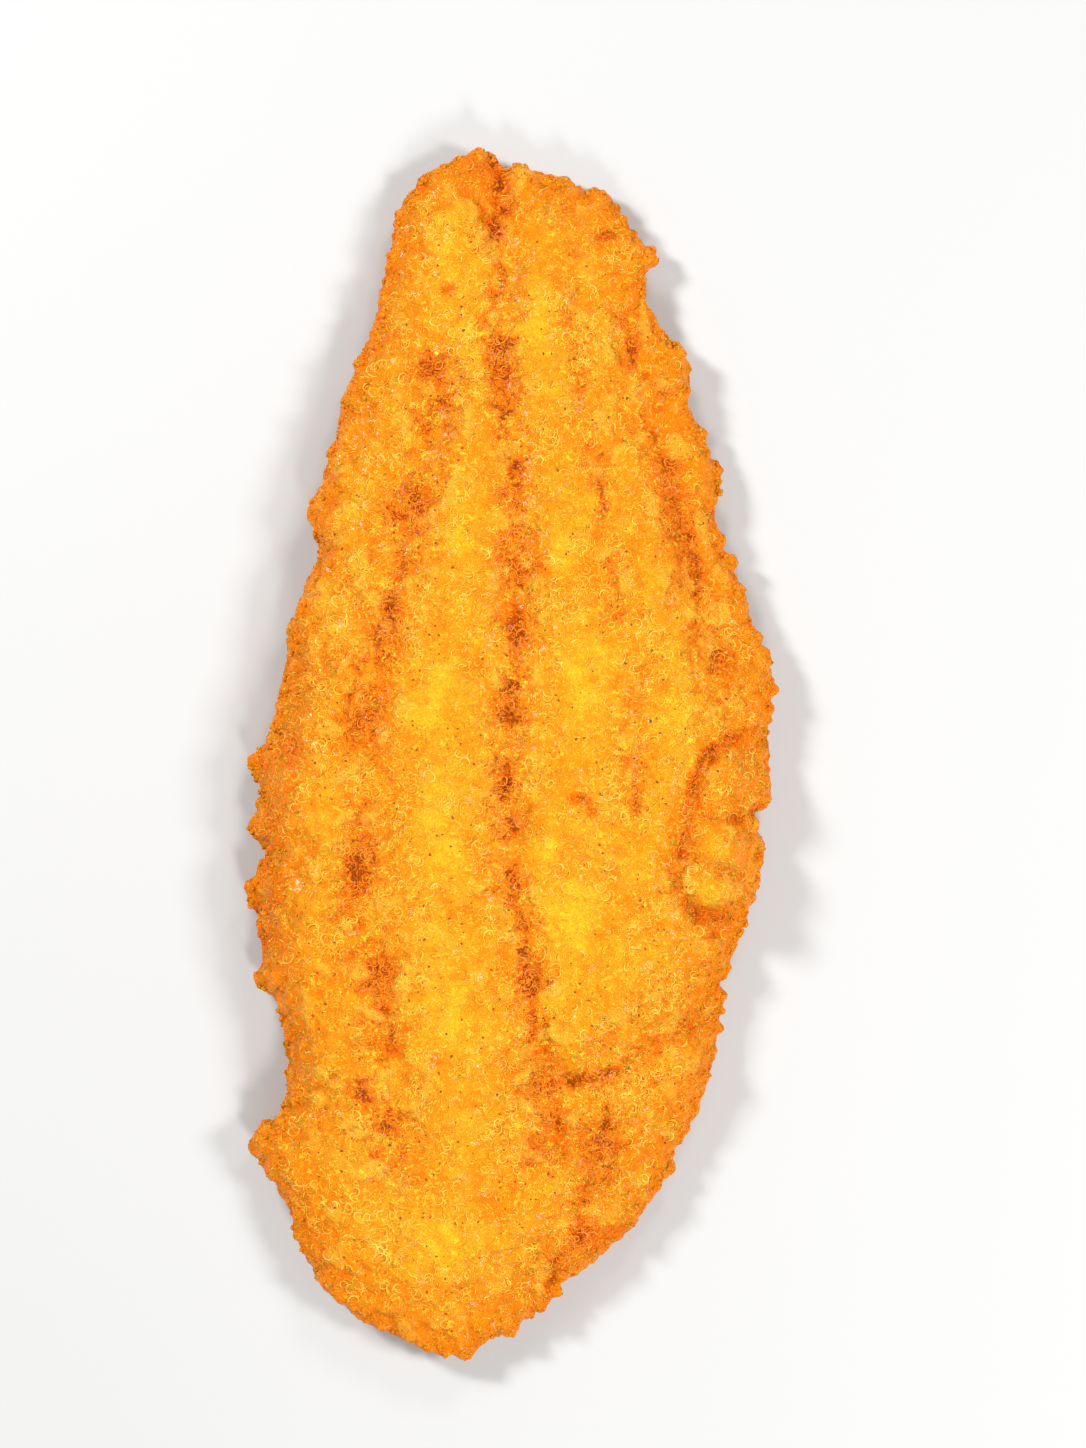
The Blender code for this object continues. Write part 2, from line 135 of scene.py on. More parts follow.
# Raised (+) and sunk (-) places: across, along, half size across, half size along, height.
puffs = [
    (0.84, -0.035, 5.0, 5.5, 1.8), (0.79, -0.145, 5.5, 3.8, 2.0), (0.79, -0.230, 5.5, 3.4, 2.2),
    (0.56, -0.335, 5.0, 2.2, 0.7), (0.50, -0.42, 6.5, 2.0, 0.8),
    (0.66, -0.50, 6.0, 2.4, 0.8), (0.46, -0.58, 5.0, 2.6, 0.7), (0.30, -0.555, 3.0, 1.8, -0.9),
    (0.47, -0.70, 3.6, 3.0, 0.7), (0.20, -0.92, 3.0, 3.0, 0.6), (-0.14, 0.98, 2.4, 2.2, 0.9),
    (-0.26, 0.95, 2.6, 2.4, 0.7), (0.08, 0.955, 2.6, 2.4, 0.9), (0.24, 0.915, 3.0, 2.6, 0.7),
    (0.42, 0.84, 2.6, 2.2, 0.7), (-0.94, -0.64, 2.6, 2.8, 0.8), (0.30, -0.085, 3.0, 2.4, 0.6),
]

# Blisters: across, along, radius.
blisters = [
    (-0.40, 0.69, 1.8), (-0.14, 0.628, 2.3), (0.02, -0.50, 2.3), (0.00, -0.57, 1.8), (0.25, -0.098, 1.7),
    (0.14, -0.815, 2.4), (0.05, 0.60, 2.4), (-0.10, 0.23, 2.6), (0.06, 0.285, 1.6), (-0.09, 0.00, 2.2),
    (-0.10, -0.125, 2.6), (0.62, 0.185, 2.6), (0.33, 0.235, 2.4), (-0.87, -0.47, 1.6), (-0.95, -0.655, 2.3),
    (0.10, -0.10, 2.0), (0.10, -0.02, 1.7), (0.52, 0.52, 1.8), (0.17, 0.90, 2.2), (-0.43, 0.52, 1.5),
]


def place(across, along):
    return np.array((across * halfWidth, along * halfLength))


def curveThrough(points):
    # Catmull-Rom curve through the given places, cut into short straight steps
    knots = [place(*p) for p in points]
    line = []
    for i in range(len(knots) - 1):
        a, b, c, d = (knots[min(max(i + k, 0), len(knots) - 1)] for k in (-1, 0, 1, 2))
        steps = max(int(np.linalg.norm(c - b) / curveStep), 1)
        for k in range(steps):
            t = k / steps
            line.append(0.5 * (2 * b + (c - a) * t + (2 * a - 5 * b + 4 * c - d) * t**2
                               + (3 * b - 3 * c + d - a) * t**3))
    line.append(knots[-1])
    return np.array(line)


def distanceToLine(points, line):
    nearest = np.full(len(points), 1.0)
    for a, b in zip(line[:-1], line[1:]):
        run = b - a
        share = np.clip(((points - a) @ run) / max(run @ run, 1e-12), 0, 1)
        gap = points - a - share[:, None] * run
        nearest = np.minimum(nearest, np.hypot(gap[:, 0], gap[:, 1]))
    return nearest


def bell(distance, halfSize):
    # 1 at distance 0, fading to nothing past halfSize
    return np.exp(-((distance / halfSize) ** 2))


def ramp(low, high, value):
    t = np.clip((value - low) / (high - low), 0, 1)
    return t * t * (3 - 2 * t)


def noiseAt(points, spacing, seed):
    # smooth noise from about -1 to 1: spacing is the width of a lump, and each seed gives another pattern
    scaled = points / (spacing * millimetre) + seed * 7.31
    return np.fromiter((noise.noise(p) for p in scaled.tolist()), float, len(points))


def bubblesAt(points, spacing, seed):
    # one dome for each Voronoi cell, 1 at its middle and 0 between cells
    scaled = points / (spacing * millimetre) + seed * 5.17
    nearest = np.fromiter((noise.voronoi(p)[0][0] for p in scaled.tolist()), float, len(points))
    return np.clip(1 - (nearest / 0.62) ** 2, 0, 1)


def spotsAt(points, spots):
    total = np.zeros(len(points))
    for across, along, sizeAcross, sizeAlong, strength in spots:
        gap = (points[:, :2] - place(across, along)) / (np.array((sizeAcross, sizeAlong)) * millimetre)
        total += strength * np.exp(-(gap**2).sum(axis=1))
    return total


def verticesOf(mesh):
    points = np.empty(len(mesh.vertices) * 3)
    mesh.vertices.foreach_get("co", points)
    return points.reshape(-1, 3)


def normalsOf(mesh):
    normals = np.empty(len(mesh.vertices) * 3)
    mesh.vertex_normals.foreach_get("vector", normals)
    return normals.reshape(-1, 3)


def seatOn(surface, x, y):
    # the place and normal of the surface under (x, y), or None and None
    return surface.ray_cast(Vector((x, y, aboveAll)), straightDown)[:2]


def newObject(name, content):
    made = bpy.data.objects.new(name, content)
    bpy.context.scene.collection.objects.link(made)
    return made


def meshFrom(shape, name):
    mesh = bpy.data.meshes.new(name)
    shape.to_mesh(mesh)
    shape.free()
    return mesh


def settle(piece, modifiers):
    # add the modifiers, keep the mesh that they give, and drop them
    for kind, settings in modifiers:
        added = piece.modifiers.new(kind.lower(), kind)
        for key, value in settings.items():
            setattr(added, key, value)
    bpy.context.view_layer.update()
    graph = bpy.context.evaluated_depsgraph_get()
    mesh = bpy.data.meshes.new_from_object(piece.evaluated_get(graph))
    piece.modifiers.clear()
    old = piece.data
    piece.data = mesh
    bpy.data.meshes.remove(old)
    mesh.name = piece.name
    return piece


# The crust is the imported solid, smoothed, covered with beads of batter and rebuilt as one fine net.
crustOptions = dict(
    voxel=0.52,  # size of the net that the crust is rebuilt in
    rimSpacing=2.6,  # about one bead of batter for each of these round the edge
    rimBead=(0.55, 1.35),  # smallest and largest radius
    rimLobeSpacing=3.4,  # and one larger lobe for each of these
    rimLobe=(1.3, 2.8),
    lumpCount=1500,  # half-sunk lumps of batter on the upper side, most of them near the edge
    lump=(0.6, 1.5),
    smoothPasses=2,
    underThinned=0.86,  # share of the underside's faces that are left out
    faceLimit=196000,
    seed=41,
)

# Relief of the crust, each kind of lump with its width and height.
relief = dict(
    broadLumps=(7.5, 0.78),
    smallLumps=(3.4, 0.64),
    bubbles=(1.9, 0.12),
    lobes=(4.2, 1.25),  # along the edge and at the tail end only
    underside=(6.0, 0.30),
    bend=(3.0, 0.7),  # pushes the worms and bubbles aside
    creaseWander=(4.2, 0.9),  # pushes the creases aside
    bandWander=(5.5, 1.6),  # pushes the brown bands aside
)

# Winding ridges of batter: width, height and how far the noise may be from 0 on a ridge.
worms = dict(coarse=(2.3, 0.28, 0.32), fine=(1.35, 0.22, 0.36))


def cadShape():
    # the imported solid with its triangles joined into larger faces
    shape = bmesh.new()
    shape.from_mesh(filletNode.data)
    bmesh.ops.remove_doubles(shape, verts=shape.verts, dist=0.00001)
    bmesh.ops.join_triangles(shape, faces=shape.faces, angle_face_threshold=0.6,
                             angle_shape_threshold=0.9)
    return shape


def rimEdges(shape):
    # the edges where the upper side meets the underside, seen from above
    leastTilt = 0.05
    found = []
    for edge in shape.edges:
        if len(edge.link_faces) == 2:
            tilts = sorted(face.normal.z for face in edge.link_faces)
            if tilts[0] < -leastTilt and tilts[1] > leastTilt:
                found.append((edge.verts[0].co.copy(), edge.verts[1].co.copy()))
    return found


def outwardOf(a, b, inside):
    # level direction across the edge a-b, away from the fillet
    run = b - a
    out = Vector((run.y, -run.x, 0)).normalized()
    probe = (a + b) / 2 + out * 0.0004  # just past the edge
    hit = seatOn(inside, probe.x, probe.y)[0]
    return -out if hit else out


def beadPlacement(centre, radius, flatten, turn):
    return (Matrix.Translation(centre) @ Matrix.Rotation(turn, 4, "Z")
            @ Matrix.Diagonal((radius, radius * 1.18, radius * flatten, 1.0)))


def joinedCopies(name, shape, placements):
    # the shape copied to every placement, as a single mesh
    corners = np.array([(*v.co, 1.0) for v in shape.verts])
    shape.verts.index_update()
    loops = [[v.index for v in face.verts] for face in shape.faces]
    shape.free()
    turned = np.array([np.array(m) for m in placements])
    points = np.einsum("nij,kj->nki", turned, corners)[:, :, :3].reshape(-1, 3)
    faces = [[index + first for index in loop]
             for first in range(0, len(points), len(corners)) for loop in loops]
    mesh = bpy.data.meshes.new(name)
    mesh.from_pydata(points.tolist(), [], faces)
    return mesh


def joinedBeads(name, placements, subdivisions):
    ball = bmesh.new()
    bmesh.ops.create_icosphere(ball, subdivisions=subdivisions, radius=1.0)
    return joinedCopies(name, ball, placements)


def rimBeads(edges, inside, dice):
    beads = []
    low, high = (r * millimetre for r in crustOptions["rimBead"])
    lobeLow, lobeHigh = (r * millimetre for r in crustOptions["rimLobe"])
    for a, b in edges:
        out = outwardOf(a, b, inside)
        length = (b - a).length / millimetre
        beadCount = int(length / crustOptions["rimSpacing"] + dice.random())
        for _ in range(beadCount + beadCount // 2):
            spot = a.lerp(b, dice.random())
            roughness = 0.5 + 0.5 * noise.noise(spot / 0.018)
            radius = low + (high - low) * dice.random() ** 1.6 * (0.4 + 0.8 * roughness)
            reach = radius * dice.uniform(-0.95, -0.10)
            lift = dice.uniform(-0.9, 1.6) * millimetre
            centre = spot + out * reach + Vector((0, 0, lift))
            centre.z = max(centre.z, radius * 0.9)
            beads.append(beadPlacement(centre, radius, dice.uniform(0.7, 1.0), dice.uniform(0, math.pi)))
        if dice.random() < length / crustOptions["rimLobeSpacing"]:
            spot = a.lerp(b, dice.random())
            radius = lobeLow + (lobeHigh - lobeLow) * dice.random() ** 1.5
            centre = spot - out * radius * dice.uniform(0.72, 1.05) + Vector((0, 0, 0.0002))
            centre.z = max(centre.z, radius * 0.62)
            beads.append(beadPlacement(centre, radius, 0.62, dice.uniform(0, math.pi)))
    return beads


def batterLumps(inside, edgeTree, dice):
    low, high = (r * millimetre for r in crustOptions["lump"])
    lumps = []
    while len(lumps) < crustOptions["lumpCount"]:
        x = dice.uniform(-1, 1) * halfWidth
        y = dice.uniform(-1, 1) * halfLength
        hit, normal = seatOn(inside, x, y)
        if not hit:
            continue
        inset = insetOf(x, y, edgeTree) / millimetre
        rough = 0.5 + 0.5 * noise.noise(Vector((x, y, 0.3)) / 0.016)
        tail = max(y / halfLength - 0.78, 0) * 2.5
        chance = 0.08 + math.exp(-inset / 5.0) + 0.25 * rough**2 + tail
        if dice.random() > chance:
            continue
        radius = low + (high - low) * dice.random() ** 1.8
        centre = hit - normal * radius * dice.uniform(0.35, 0.75)
        lumps.append(beadPlacement(centre, radius, dice.uniform(0.75, 1.0), dice.uniform(0, math.pi)))
    return lumps


def edgeTreeOf(edges):
    # places all round the edge, to measure how far from it something is
    spots = []
    for a, b in edges:
        for k in range(4):
            spots.append(a.lerp(b, k / 4))
    tree = kdtree.KDTree(len(spots))
    for i, spot in enumerate(spots):
        tree.insert((spot.x, spot.y, 0), i)
    tree.balance()
    return tree


def insetOf(x, y, edgeTree):
    # how far in from the edge a place is
    return edgeTree.find((x, y, 0))[2]


def insetsAt(points, edgeTree):
    flat = points[:, :2].tolist()
    return np.fromiter((insetOf(x, y, edgeTree) for x, y in flat), float, len(points))


def upperShare(normals):
    # 1 on the upper side and 0 on the underside
    return ramp(-0.35, 0.25, normals[:, 2])


def lumpsAt(points, kind, seed):
    width, height = relief[kind]
    return height * noiseAt(points, width, seed)


def domesAt(points, kind, seed):
    width, height = relief[kind]
    return height * bubblesAt(points, width, seed)


def wormsAt(points, kind, seed):
    width, height, reach = worms[kind]
    return height * np.clip(1 - np.abs(noiseAt(points, width, seed)) / reach, 0, 1)


def bandAt(points):
    # how much of a brown groove band each point lies in
    flat = points[:, :2]
    wander = lumpsAt(points, "bandWander", 20) * millimetre
    uneven = np.clip(0.80 + 1.3 * noiseAt(points, 8.0, 21) + 1.6 * noiseAt(points, 2.6, 24), 0.05, 1.9)
    band = np.zeros(len(points))
    for groove in grooves.values():
        gap = np.abs(distanceToLine(flat, curveThrough(groove["points"])) + wander)
        brown = groove["brown"] * (1 + (uneven - 1) * groove.get("broken", 1.0))
        band = np.maximum(band, brown * bell(gap, groove["band"] * millimetre))
    return band


def frostAt(points, inset, band):
    # puffed pale lumps, most of them beside the groove bands and round the edge
    beside = ramp(0.03, 0.14, band) * (1 - 0.7 * ramp(0.30, 0.60, band))
    ready = np.clip(0.25 + 0.9 * beside + 0.5 * bell(inset - 0.006, 0.005), 0, 1)
    return ramp(0.20, 0.42, noiseAt(points, 4.6, 30) + 0.12 * noiseAt(points, 1.8, 31)) * ready


def creasesAt(points):
    # how deep the creases between the muscle bands are, deeper and shallower along their way
    wander = lumpsAt(points, "creaseWander", 9) * millimetre
    uneven = np.clip(0.7 + 0.5 * noiseAt(points, 5.0, 10), 0.2, 1.2)
    depth = np.zeros(len(points))
    for groove in grooves.values():
        gap = np.abs(distanceToLine(points[:, :2], curveThrough(groove["points"])) + wander)
        depth += groove["depth"] * uneven * bell(gap, groove["fold"] * millimetre)
    return depth


def blistersAt(flat):
    # a dome for each blister, with a shallow ring round its foot
    height = np.zeros(len(flat))
    for across, along, radius in blisters:
        gap = np.hypot(*(flat - place(across, along)).T) / (radius * millimetre)
        height += 0.24 * radius * np.clip(1 - gap**2, 0, 1) ** 0.7 - 0.16 * bell(gap - 1.12, 0.22)
    return height


def reliefOf(points, normals, inset, band, frost):
    # how far each point of the crust moves along its normal, then the fine and the broad part of it
    flat = points[:, :2]
    upper = upperShare(normals)
    nearEdge = bell(inset, 0.0065)
    roughness = np.clip(0.75 + 0.8 * noiseAt(points, 14, 1) + 0.9 * band, 0.35, 1.6)
    lumps = lumpsAt(points, "broadLumps", 2) + lumpsAt(points, "smallLumps", 3)
    bent = points.copy()
    bent[:, 0] += lumpsAt(points, "bend", 4) * millimetre
    bent[:, 1] += lumpsAt(points, "bend", 5) * millimetre
    ridges = wormsAt(bent, "coarse", 6) + wormsAt(bent, "fine", 7) + domesAt(bent, "bubbles", 8)
    fine = roughness * ridges * (1 - 0.60 * nearEdge)
    chunky = np.clip(bell(inset, 0.0085) + ramp(0.80, 0.95, points[:, 1] / halfLength), 0, 1)
    lobes = chunky * domesAt(bent, "lobes", 12)
    rise = lumps - creasesAt(points) + blistersAt(flat) + lobes - 0.55 * chunky + spotsAt(points, puffs)
    rise += 0.50 * frost
    total = rise + fine - 0.28 * np.clip(spotsAt(points, brownSpots), 0, 1.2)
    under = lumpsAt(points, "underside", 11)
    return (upper * total + (1 - upper) * under) * millimetre, fine * upper, rise * upper


def thin(body, share, group=""):
    # keep a share of the faces, leaving them out where the group is, if one is named
    settle(body, [("DECIMATE", dict(decimate_type="COLLAPSE", ratio=min(share, 1.0),
                                    vertex_group=group, vertex_group_factor=1.0))])


def beadedBody(shape, beads):
    # the smoothed solid and its beads of batter, rebuilt as one fine net
    body = newObject("crust", meshFrom(shape, "crust"))
    settle(body, [("SUBSURF", dict(levels=2, render_levels=2))])
    balls = joinedBeads("beads", beads, 2)
    shape = bmesh.new()
    shape.from_mesh(body.data)
    shape.from_mesh(balls)
    shape.to_mesh(body.data)
    shape.free()
    bpy.data.meshes.remove(balls)
    settle(body, [("REMESH", dict(mode="VOXEL", voxel_size=crustOptions["voxel"] * millimetre))])
    print("crust net", len(body.data.vertices), "points")
    return body


def smoothOver(mesh):
    shape = bmesh.new()
    shape.from_mesh(mesh)
    for _ in range(crustOptions["smoothPasses"]):
        bmesh.ops.smooth_vert(shape, verts=shape.verts, factor=0.5, use_axis_x=True, use_axis_y=True,
                              use_axis_z=True)
    shape.to_mesh(mesh)
    shape.free()


def thinCrust(body, normals):
    # the underside is thinned first, then all of it as far as is still needed
    below = np.flatnonzero(normals[:, 2] < -0.5).tolist()
    body.vertex_groups.new(name="below").add(below, 1.0, "REPLACE")
    thin(body, 1 - crustOptions["underThinned"] * len(below) / len(normals), "below")
    body.vertex_groups.clear()
    triangleCount = len(body.data.loops) - 2 * len(body.data.polygons)
    thin(body, crustOptions["faceLimit"] / triangleCount)
    print("crust", len(body.data.polygons), "faces")


def buildCrust():
    dice = random.Random(crustOptions["seed"])
    shape = cadShape()
    inside = BVHTree.FromBMesh(shape)
    edges = rimEdges(shape)
    edgeTree = edgeTreeOf(edges)
    print("rim edges", len(edges))
    body = beadedBody(shape, rimBeads(edges, inside, dice) + batterLumps(inside, edgeTree, dice))
    mesh = body.data
    smoothOver(mesh)
    points, normals = verticesOf(mesh), normalsOf(mesh)
    inset = insetsAt(points, edgeTree)
    band = bandAt(points)
    frost = frostAt(points, inset, band)
    move, fine, rise = reliefOf(points, normals, inset, band, frost)
    points += normals * move[:, None]
    points[:, 2] = np.clip(points[:, 2], 0.00002, filletHigh.z + 0.002)
    mesh.vertices.foreach_set("co", points.ravel())
    mesh.update()
    print("crust shaped")
    writeLooks(mesh, points, normals, inset, fine, rise, band, frost)
    thinCrust(body, normals)
    body.data.shade_smooth()
    return body, edgeTree


def writeLooks(mesh, points, normals, inset, fine, rise, band, frost):
    # what the finish reads: how browned, how yellow, how much of a crest, how near the edge, how puffed
    # and how raised each point is
    upper = upperShare(normals)
    drift = 1 + 0.5 * noiseAt(points, 2.2, 22)
    brown = 1.1 * band + 1.25 * spotsAt(points, brownSpots) * drift
    yellow = spotsAt(points, yellowPatches)
    away = ramp(0.004, 0.016, inset)
    yellow = (0.25 * away + yellow) * (0.95 + 0.5 * noiseAt(points, 6.0, 23)) - 0.6 * band
    looks = dict(
        browning=np.where(upper > 0.5, brown, 0.15),
        yellowing=np.clip(yellow, 0, 1.2) * upper,
        crest=np.clip(fine / 0.50, 0, 1),
        edge=bell(inset, 0.0075),
        frost=frost * upper,
        lift=np.clip(rise / 1.1, -1, 1),
    )
    for name, values in looks.items():
        layer = mesh.attributes.new(name, "FLOAT", "POINT")
        layer.data.foreach_set("value", values.astype(np.float32))


class Socket:
    # a shader value that can be used in sums, each of which adds a Math node
    def __init__(self, finish, output):
        self.finish = finish
        self.output = output

    def sum(self, operation, *values):
        return self.finish.node("ShaderNodeMath", dict(operation=operation), dict(enumerate(values)))

    def __add__(self, other):
        return self.sum("ADD", self, other)

    def __radd__(self, other):
        return self.sum("ADD", other, self)

    def __sub__(self, other):
        return self.sum("SUBTRACT", self, other)

    def __rsub__(self, other):
        return self.sum("SUBTRACT", other, self)

    def __mul__(self, other):
        return self.sum("MULTIPLY", self, other)

    def __rmul__(self, other):
        return self.sum("MULTIPLY", other, self)

    def __abs__(self):
        return self.sum("ABSOLUTE", self)

    def clamp(self):
        return self.finish.node("ShaderNodeClamp", {}, dict(Value=self))

    def between(self, low, high):
        # 0 below low, 1 above high, smooth in between
        return self.finish.node("ShaderNodeMapRange", dict(interpolation_type="SMOOTHSTEP"),
                                {"Value": self, "From Min": low, "From Max": high})


class Finish:
    # a material and the nodes that are added to it
    def __init__(self, name):
        self.material = bpy.data.materials.new(name)
        self.material.use_nodes = True
        self.tree = self.material.node_tree
        self.surface = self.tree.nodes["Principled BSDF"]
        self.place = self.node("ShaderNodeTexCoord", {}, {}, "Object")

    def node(self, kind, settings, inputs, output=0):
        made = self.tree.nodes.new(kind)
        for key, value in settings.items():
            setattr(made, key, value)
        for key, value in inputs.items():
            self.feed(made.inputs[key], value)
        return Socket(self, made.outputs[output])

    def feed(self, socket, value):
        if isinstance(value, Socket):
            self.tree.links.new(value.output, socket)
        else:
            socket.default_value = value

    def noise(self, size, detail=2.0, roughness=0.5, distortion=0.0):
        # size is the width of a lump, in millimetres
        return self.node("ShaderNodeTexNoise", {},
                         {"Vector": self.place, "Scale": 1000 / size, "Detail": detail,
                          "Roughness": roughness, "Distortion": distortion})

    def mix(self, share, first, second):
        return self.node("ShaderNodeMix", dict(data_type="RGBA", clamp_factor=True),
                         {0: share, 6: first, 7: second}, 2)

    def attribute(self, name):
        return self.node("ShaderNodeAttribute", dict(attribute_name=name), {}, "Fac")

    def set(self, **values):
        for key, value in values.items():
            self.feed(self.surface.inputs[key.replace("_", " ")], value)


crustColours = dict(
    golden=(0.950, 0.188, 0.001, 1),
    yellow=(0.990, 0.530, 0.016, 1),
    orange=(0.860, 0.150, 0.001, 1),
    brown=(0.600, 0.092, 0.001, 1),
    dark=(0.270, 0.032, 0.001, 1),
    # the next colour is that of pale fibres and of painted highlights on crests and threads
    pale=(0.990, 0.600, 0.036, 1),
    peach=(0.980, 0.410, 0.036, 1),
    rim=(0.880, 0.275, 0.004, 1),
    # the next colour is painted shade, laid in sunk places and beside each thread
    paintedShade=(0.840, 0.125, 0.001, 1),
)
batterGlow = (1.0, 0.35, 0.10)  # how far red, green and blue light travel in the batter
batterIor = 1.42


def crustFinish():
    finish = Finish("friedBatter")
    colours = crustColours
    browning = finish.attribute("browning")
    yellowing = finish.attribute("yellowing")
    crest = finish.attribute("crest")
    edge = finish.attribute("edge")
    frost = finish.attribute("frost")
    lift = finish.attribute("lift")

    # curved threads in the batter, where a noise crosses its middle value, each partly a pale fibre and
    # partly a painted highlight, with a painted shade beside each
    threads = abs(finish.noise(2.1, 1.0, 0.5, distortion=1.6) - 0.5)
    strand = 1 - threads.between(0.010, 0.050)
    shade = threads.between(0.035, 0.085) * (1 - threads.between(0.085, 0.20))
    fineThreads = abs(finish.noise(1.2, 1.0, 0.5, distortion=1.2) - 0.5)
    fineStrand = 1 - fineThreads.between(0.010, 0.060)
    fineShade = fineThreads.between(0.05, 0.11) * (1 - fineThreads.between(0.11, 0.22))
    patches = finish.noise(9.0, 3.0, 0.55)
    mottle = finish.noise(3.0, 2.0, 0.55).between(0.36, 0.64)
    fibres = finish.noise(1.4, 4.0, 0.65, distortion=1.6).between(0.32, 0.68)
    wisps = 1 - abs(finish.noise(2.6, 2.0, 0.5, distortion=2.2) - 0.5).between(0.0, 0.11)
    grain = finish.noise(0.6, 2.0, 0.6)
    gate = finish.noise(4.0, 2.0, 0.5).between(0.34, 0.60)

    frayed = browning * (0.34 + fibres * 0.62 + wisps * 0.74)
    vigour = (0.72 + browning * 0.5 + edge * 0.2 - yellowing * 0.28).clamp() * (0.55 + gate * 0.45)
    # yellow patches and mottle of the batter, the rim less yellow, and painted light that makes raised places
    # yellower
    yellowingAndPaintedLight = patches.between(0.30, 0.70) * 0.20 + mottle * 0.34 + yellowing * 0.84 - edge * 0.50 + lift * 0.36
    yellowingAndPaintedLight = (yellowingAndPaintedLight - 0.14).clamp()
    colour = finish.mix(yellowingAndPaintedLight, colours["golden"], colours["yellow"])
    colour = finish.mix(edge * 0.60, colour, colours["rim"])
    # painted shade: sunk places are painted darker orange
    colour = finish.mix((0 - lift).between(0.10, 1.00) * (0.72 - edge * 0.45), colour, colours["paintedShade"])
    colour = finish.mix(frayed.between(0.02, 0.45), colour, colours["orange"])
    colour = finish.mix(frayed.between(0.28, 1.10) * 0.85, colour, colours["brown"])
    # painted shade beside each thread
    shadeShare = (shade + fineShade * 0.8).clamp() * vigour * (1 - edge * 0.3)
    colour = finish.mix(shadeShare, colour, colours["paintedShade"])
    colour = finish.mix(frost * 0.62, colour, colours["peach"])
    # pale fibres and painted highlights along the threads, and painted highlights on the crests
    fibresAndPaintedHighlight = crest * vigour * 0.30 + strand * vigour + fineStrand * vigour * 0.80
    fibresAndPaintedHighlight = fibresAndPaintedHighlight * (1 - frayed.between(0.25, 1.0) * 0.75) * (1 - edge * 0.55)
    colour = finish.mix(fibresAndPaintedHighlight.clamp(), colour, colours["pale"])
    colour = finish.mix(frayed.between(1.02, 1.85) * 0.80, colour, colours["dark"])
    finish.set(Base_Color=colour)

    rough = 0.18 - strand * vigour * 0.08 - crest * 0.03 + (patches - 0.5) * 0.14 + frayed * 0.05
    finish.set(Roughness=rough, IOR=batterIor, Specular_IOR_Level=0.14)
    finish.set(Subsurface_Weight=0.14, Subsurface_Radius=batterGlow, Subsurface_Scale=0.0012)

    height = (strand * 0.7 + fineStrand * 0.45) * (0.3 + vigour) + grain * 0.05
    bump = finish.node("ShaderNodeBump", {}, {"Strength": 1.0, "Distance": 0.00060, "Height": height})
    finish.set(Normal=bump)
    return finish.material


# pepper and spice specks, radius in millimetres
pepperOptions = dict(
    count=1500,
    radius=(0.10, 0.27),
    dark=(0.11, 0.022, 0.003, 1),
    light=(0.34, 0.075, 0.006, 1),
    seed=7,
)


def buildPepper(surface, edgeTree):
    dice = random.Random(pepperOptions["seed"])
    low, high = pepperOptions["radius"]
    specks = []
    while len(specks) < pepperOptions["count"]:
        x = dice.uniform(-1, 1) * halfWidth
        y = dice.uniform(-1, 1) * halfLength
        hit, normal = seatOn(surface, x, y)
        if not hit:
            continue
        inset = insetOf(x, y, edgeTree)
        spot = np.array([(x, y, 0.0)])
        near = float(spotsAt(spot, brownSpots)[0])
        cluster = 0.5 + 0.5 * noise.noise(Vector((x, y, 0)) / 0.012)
        if dice.random() > (0.20 + 0.5 * cluster**2 + 0.5 * near) * (0.35 + min(inset / 0.012, 1) * 0.65):
            continue
        radius = (low + (high - low) * dice.random() ** 2.2) * millimetre
        turn = normal.to_track_quat("Z", "Y").to_matrix().to_4x4()
        stretch = Matrix.Diagonal((radius, radius * dice.uniform(1.0, 1.7), radius * 0.55, 1.0))
        spin = Matrix.Rotation(dice.uniform(0, math.pi), 4, "Z")
        specks.append(Matrix.Translation(hit) @ turn @ spin @ stretch)
    pepper = newObject("pepperSpecks", joinedBeads("pepperSpecks", specks, 1))
    pepper.data.shade_smooth()
    return pepper


def pepperFinish():
    finish = Finish("crackedPepper")
    shade = finish.noise(0.6, 2.0)
    finish.set(Base_Color=finish.mix(shade, pepperOptions["dark"], pepperOptions["light"]))
    finish.set(Roughness=0.45 + shade * 0.2, Specular_IOR_Level=0.3)
    return finish.material


# short curled threads of crisp batter on the crust
threadOptions = dict(
    count=7600,
    arcs=[(1.0, 0.22, 3), (1.5, 0.20, 3), (2.2, 0.19, 4), (4.4, 0.22, 6)],  # angle, thickness and steps
    sides=3,
    curl=(0.42, 1.10),  # radius that a thread curls round
    golden=(0.980, 0.390, 0.012, 1),
    pale=(0.990, 0.600, 0.080, 1),
    browned=(0.880, 0.200, 0.006, 1),
    seed=23,
)


def threadShape(sweep, girth, steps):
    # part of a thin ring of radius 1, tapered at both ends
    sides = threadOptions["sides"]
    shape = bmesh.new()
    ring = bmesh.ops.create_circle(shape, cap_ends=True, segments=sides, radius=girth)["verts"]
    bmesh.ops.rotate(shape, verts=ring, matrix=Matrix.Rotation(math.pi / 2, 3, "X"))
    bmesh.ops.translate(shape, verts=ring, vec=(1, 0, 0))
    start = list(shape.faces)
    bmesh.ops.spin(shape, geom=start, cent=(0, 0, 0), axis=(0, 0, 1), angle=sweep, steps=steps)
    bmesh.ops.recalc_face_normals(shape, faces=shape.faces)
    for vertex in shape.verts:
        angle = math.atan2(vertex.co.y, vertex.co.x) % (2 * math.pi)
        middle = Vector((math.cos(angle), math.sin(angle), 0))
        taper = 0.35 + 0.65 * math.sin(math.pi * min((angle + 0.25) / (sweep + 0.5), 1.0))
        vertex.co = middle + (vertex.co - middle) * taper
    return shape


